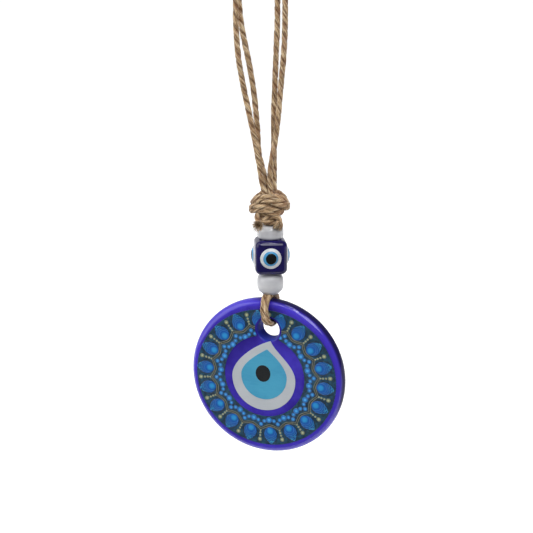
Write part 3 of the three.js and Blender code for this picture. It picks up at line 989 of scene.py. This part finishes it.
def enamelFinish(name, colour, edge):
    finish = Finish(name, rgb(*colour), 0.2)
    place = finish.place()
    cloud = finish.noise(place, 90, 3)
    brush = finish.noise(finish.stretched(place, (260, 260, 1400)), 1, 3)
    specks = finish.noise(place, 3000, 2).step(0.7, 0.78)
    tone = finish.mix((cloud * 0.7 + brush * 0.3).step(0.3, 0.75), rgb(*edge), rgb(*colour))
    finish.use("Base Color", finish.mix(specks * 0.25, tone, rgb(*edge)))
    finish.use("Roughness", cloud * 0.12 + 0.14)
    finish.bump(brush * 0.4 + cloud, 0.1 * mm, 0.4)
    return finish.material


def plate(bm, rings, back, front, lip):
    # a thin plate between y = back and y = front; its first ring is the outside and the rest are holes
    loopEdges = []
    for ring in rings:
        corners = [bm.verts.new(discPlace(x, z, back)) for x, z in ring]
        loopEdges.append([bm.edges.new(pair) for pair in zip(corners, corners[1:] + corners[:1])])
    bmesh.ops.triangle_fill(bm, edges=[e for ring in loopEdges for e in ring], use_beauty=True)
    made = bmesh.ops.extrude_face_region(bm, geom=bm.faces[:])["geom"]
    raised = [g for g in made if isinstance(g, bmesh.types.BMVert)]
    bmesh.ops.translate(bm, verts=raised, vec=(0, (front - back) * mm, 0))
    bmesh.ops.recalc_face_normals(bm, faces=bm.faces)
    top = [e for e in bm.edges if e.verts[0] in raised and e.verts[1] in raised
           and len({round(abs(f.normal.y)) for f in e.link_faces}) > 1]
    bmesh.ops.bevel(bm, geom=top, offset=lip * mm, segments=3, profile=0.5, affect="EDGES", material=-1)
    for face in bm.faces:
        face.smooth = abs(face.normal.y) < 0.999


def roundRing(x, z, halfWidth, halfHeight, count=144, start=0, end=2 * math.pi):
    return [(x + halfWidth * math.cos(a), z + halfHeight * math.sin(a))
            for a in np.linspace(start, end, count, endpoint=False)]


# the printed eye: two drops that lean to the right, and the pupil

drops = {
    "white": {"middle": (-0.75, -0.6), "radius": 14.7, "tip": (2.45, 16.9),
              "leftPull": (-6.5, -2), "rightPull": (2.5, -5.5), "height": 0.16,
              "colour": (192, 197, 202), "edge": (182, 188, 194)},
    "blue": {"middle": (-0.6, 0.4), "radius": 10.6, "tip": (0.85, 13.05),
             "leftPull": (-3.9, -2.5), "rightPull": (2.8, -2.2), "height": 0.26,
             "colour": (78, 166, 200), "edge": (68, 152, 190)},
}
pupil = {"middle": (-0.95, 1.75), "half": (3.45, 3.85), "height": 0.34,
         "colour": (35, 38, 40), "edge": (26, 28, 30)}


def bezier(a, b, c, d, count):
    points = []
    for i in range(count):
        t = i / count
        weights = ((1 - t) ** 3, 3 * t * (1 - t) ** 2, 3 * t * t * (1 - t), t ** 3)
        points.append(tuple(sum(w * p[k] for w, p in zip(weights, (a, b, c, d))) for k in (0, 1)))
    return points


def dropRing(drop):
    x, z = drop["middle"]
    r = drop["radius"]
    tip = drop["tip"]
    left, right = [(tip[0] + pull[0], tip[1] + pull[1]) for pull in (drop["leftPull"], drop["rightPull"])]
    ring = bezier(tip, left, (x - r, z + r / 2), (x - r, z), 40)
    ring += roundRing(x, z, r, r, 72, math.pi)
    ring += bezier((x + r, z), (x + r, z + r / 2), right, tip, 40)
    return ring


def printDisc():
    face = -disc["thickness"] / 2
    foot = face + 0.05      # the print's back lies just inside the glass
    # the ring's inner edge: round the bare glass, and round the hole where the two overlap
    holeX, holeZ = disc["hole"]
    holeRadius = disc["holeRadius"] + disc["holeRounding"] + 0.2
    bareX, bareZ, bareRadius = dotWork["bareGlass"]
    gap = 0.1
    below = [p for p in roundRing(bareX, bareZ, bareRadius, bareRadius)
             if math.dist(p, (holeX, holeZ)) > holeRadius + gap]
    above = [p for p in roundRing(holeX, holeZ, holeRadius, holeRadius, 96)
             if math.dist(p, (bareX, bareZ)) > bareRadius + gap]
    below.sort(key=lambda p: (math.atan2(p[1] - bareZ, p[0] - bareX) - math.pi / 2) % (2 * math.pi))
    above.sort(key=lambda p: (math.atan2(p[1] - holeZ, p[0] - holeX) + math.pi / 2) % (2 * math.pi))
    wide, tall = dotWork["stretch"]
    x, z, radius = dotWork["outline"]
    outline = roundRing(x * wide, z * tall, radius * wide, radius * tall)
    bm = bmesh.new()
    plate(bm, [outline, below + above], foot, face - 0.12, 0.06)
    newPiece("dot_work", bm, dotWorkFinish(), "mandala_print", ["mandala_film"], "disc")

    pupilRing = roundRing(*pupil["middle"], *pupil["half"], 72)
    for name, look, ring, slot in (("white_drop", drops["white"], dropRing(drops["white"]), "white_enamel"),
                                   ("blue_drop", drops["blue"], dropRing(drops["blue"]), "blue_enamel"),
                                   ("pupil_spot", pupil, pupilRing, "black_enamel")):
        bm = bmesh.new()
        plate(bm, [ring], foot, face - look["height"], 0.1)
        material = enamelFinish(slot.replace("_", " "), look["colour"], look["edge"])
        newPiece(name, bm, material, slot, ["eye_" + name], "disc")


makeDisc()
printDisc()
print("disc printed")


# floor, backdrop and light

studio = {
    "floor": -0.36, "floorSize": 6, "floorBack": 5.9, "shown": 1.0,
    "front": 0.2, "behind": 0.8, "behindRight": 0.15,
    "ring": {"toward": (-0.03, -0.34, 0.94), "inside": 15.5, "outside": 17, "strength": 28},
    "lamps": {
        "key": {"place": (0.55, -0.75, 0.75), "size": (0.7, 0.7), "power": 8, "aim": (0, 0, -0.17)},
        "fill": {"place": (-0.9, -0.55, 0.25), "size": (0.9, 1.2), "power": 7, "aim": (0, 0, -0.17)},
    },
}


def setStudio():
    finish = Finish("studio paper", (0.9, 0.9, 0.9, 1), 0.9, Emission_Color=(1, 1, 1, 1), Emission_Strength=0.45)
    grain = finish.noise(finish.place(), 400, 2)
    finish.use("Base Color", finish.mix(grain, (0.88, 0.88, 0.88, 1), (0.9, 0.9, 0.9, 1)))
    bm = bmesh.new()
    bmesh.ops.create_grid(bm, x_segments=2, y_segments=2, size=studio["floorSize"])
    bmesh.ops.translate(bm, verts=bm.verts, vec=(0, studio["floorBack"], studio["floor"]))
    newObject("studio_paper", bm, finish.material)

    # plain white to look at; as a light, brightest behind on the left, with a ring light overhead
    world = bpy.data.worlds.new("studio")
    world.use_nodes = True
    sky = Nodes(world.node_tree)
    across, depth, up = sky.parts(sky.node("ShaderNodeTexCoord", output="Generated"))
    behind = sky.node("ShaderNodeMapRange", None, {"Value": across, "From Min": -0.35, "From Max": 0.3,
                                                   "To Min": studio["behind"], "To Max": studio["behindRight"]})
    glow = sky.node("ShaderNodeMapRange", None, {"Value": depth, "From Min": -0.6, "From Max": 0.7,
                                                 "To Min": studio["front"], "To Max": behind})
    ring = studio["ring"]
    toward = Vector(ring["toward"]).normalized()
    nearness = across * toward.x + depth * toward.y + up * toward.z
    inside, outside = math.cos(math.radians(ring["inside"])), math.cos(math.radians(ring["outside"]))
    band = nearness.maths("GREATER_THAN", nearness, outside) * nearness.maths("LESS_THAN", nearness, inside)
    seen = sky.node("ShaderNodeLightPath")
    strength = sky.node("ShaderNodeMix", None, {0: seen, 2: glow + band * ring["strength"], 3: studio["shown"]})
    sky.feed(sky.nodes["Background"].inputs["Strength"], strength)
    sky.feed(sky.nodes["Background"].inputs["Color"], (1, 1, 1, 1))
    bpy.context.scene.world = world

    for name, lamp in studio["lamps"].items():
        data = bpy.data.lights.new(name, "AREA")
        data.shape = "RECTANGLE"
        data.size, data.size_y = lamp["size"]
        data.energy = lamp["power"]
        light = bpy.data.objects.new(name, data)
        light.location = lamp["place"]
        light.rotation_euler = (Vector(lamp["place"]) - Vector(lamp["aim"])).to_track_quat("Z", "Y").to_euler()
        bpy.context.collection.objects.link(light)
    bpy.context.scene.view_settings.view_transform = "Standard"


setStudio()
print("studio lit")
